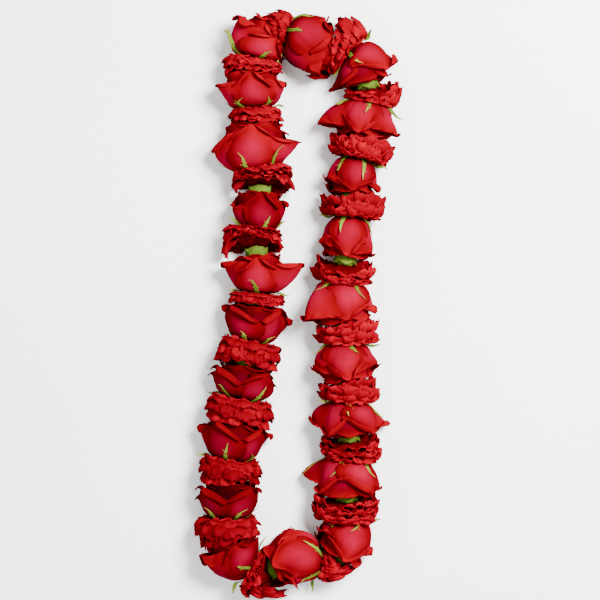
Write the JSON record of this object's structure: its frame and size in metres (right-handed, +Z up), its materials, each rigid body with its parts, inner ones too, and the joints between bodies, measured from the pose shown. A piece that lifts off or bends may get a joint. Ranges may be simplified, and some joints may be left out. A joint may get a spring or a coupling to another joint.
{
  "type": "fresh flower lei",
  "caption": "Fresh flower lei laid flat in a long closed loop: red roses and red carnations strung alternately lengthways on one tied thread, with green hips, sepals and calyxes.",
  "frame": {"origin": "middle of the lei's outline in plan, on the surface that it rests on", "axes": "+Z up off the surface; +Y along the loop's length, towards the end where the flowers run from the left strand over to the right; +X to the right as seen from above"},
  "size_m": [0.174, 0.4978, 0.048],
  "materials": {
    "rose_petal": "velvet, satin",
    "carnation_petal": "matte",
    "green": "waxy, satin",
    "thread": "matte"
  },
  "bodies": {
    "root": {"rose_01": "rose_petal", "rose_02": "rose_petal", "rose_03": "rose_petal", "rose_04": "rose_petal", "rose_05": "rose_petal", "rose_06": "rose_petal", "rose_07": "rose_petal", "rose_08": "rose_petal", "rose_09": "rose_petal", "rose_10": "rose_petal", "rose_11": "rose_petal", "rose_12": "rose_petal", "rose_13": "rose_petal", "rose_14": "rose_petal", "rose_15": "rose_petal", "rose_16": "rose_petal", "rose_17": "rose_petal", "rose_18": "rose_petal", "rose_19": "rose_petal", "rose_20": "rose_petal", "rose_21": "rose_petal", "carnation_01": "carnation_petal", "carnation_02": "carnation_petal", "carnation_03": "carnation_petal", "carnation_04": "carnation_petal", "carnation_05": "carnation_petal", "carnation_06": "carnation_petal", "carnation_07": "carnation_petal", "carnation_08": "carnation_petal", "carnation_09": "carnation_petal", "carnation_10": "carnation_petal", "carnation_11": "carnation_petal", "carnation_12": "carnation_petal", "carnation_13": "carnation_petal", "carnation_14": "carnation_petal", "carnation_15": "carnation_petal", "carnation_16": "carnation_petal", "carnation_17": "carnation_petal", "carnation_18": "carnation_petal", "carnation_19": "carnation_petal", "carnation_20": "carnation_petal", "carnation_21": "carnation_petal", "greens_01": "green", "greens_02": "green", "greens_03": "green", "greens_04": "green", "greens_05": "green", "greens_06": "green", "greens_07": "green", "thread": "thread"}
  },
  "joints": []
}
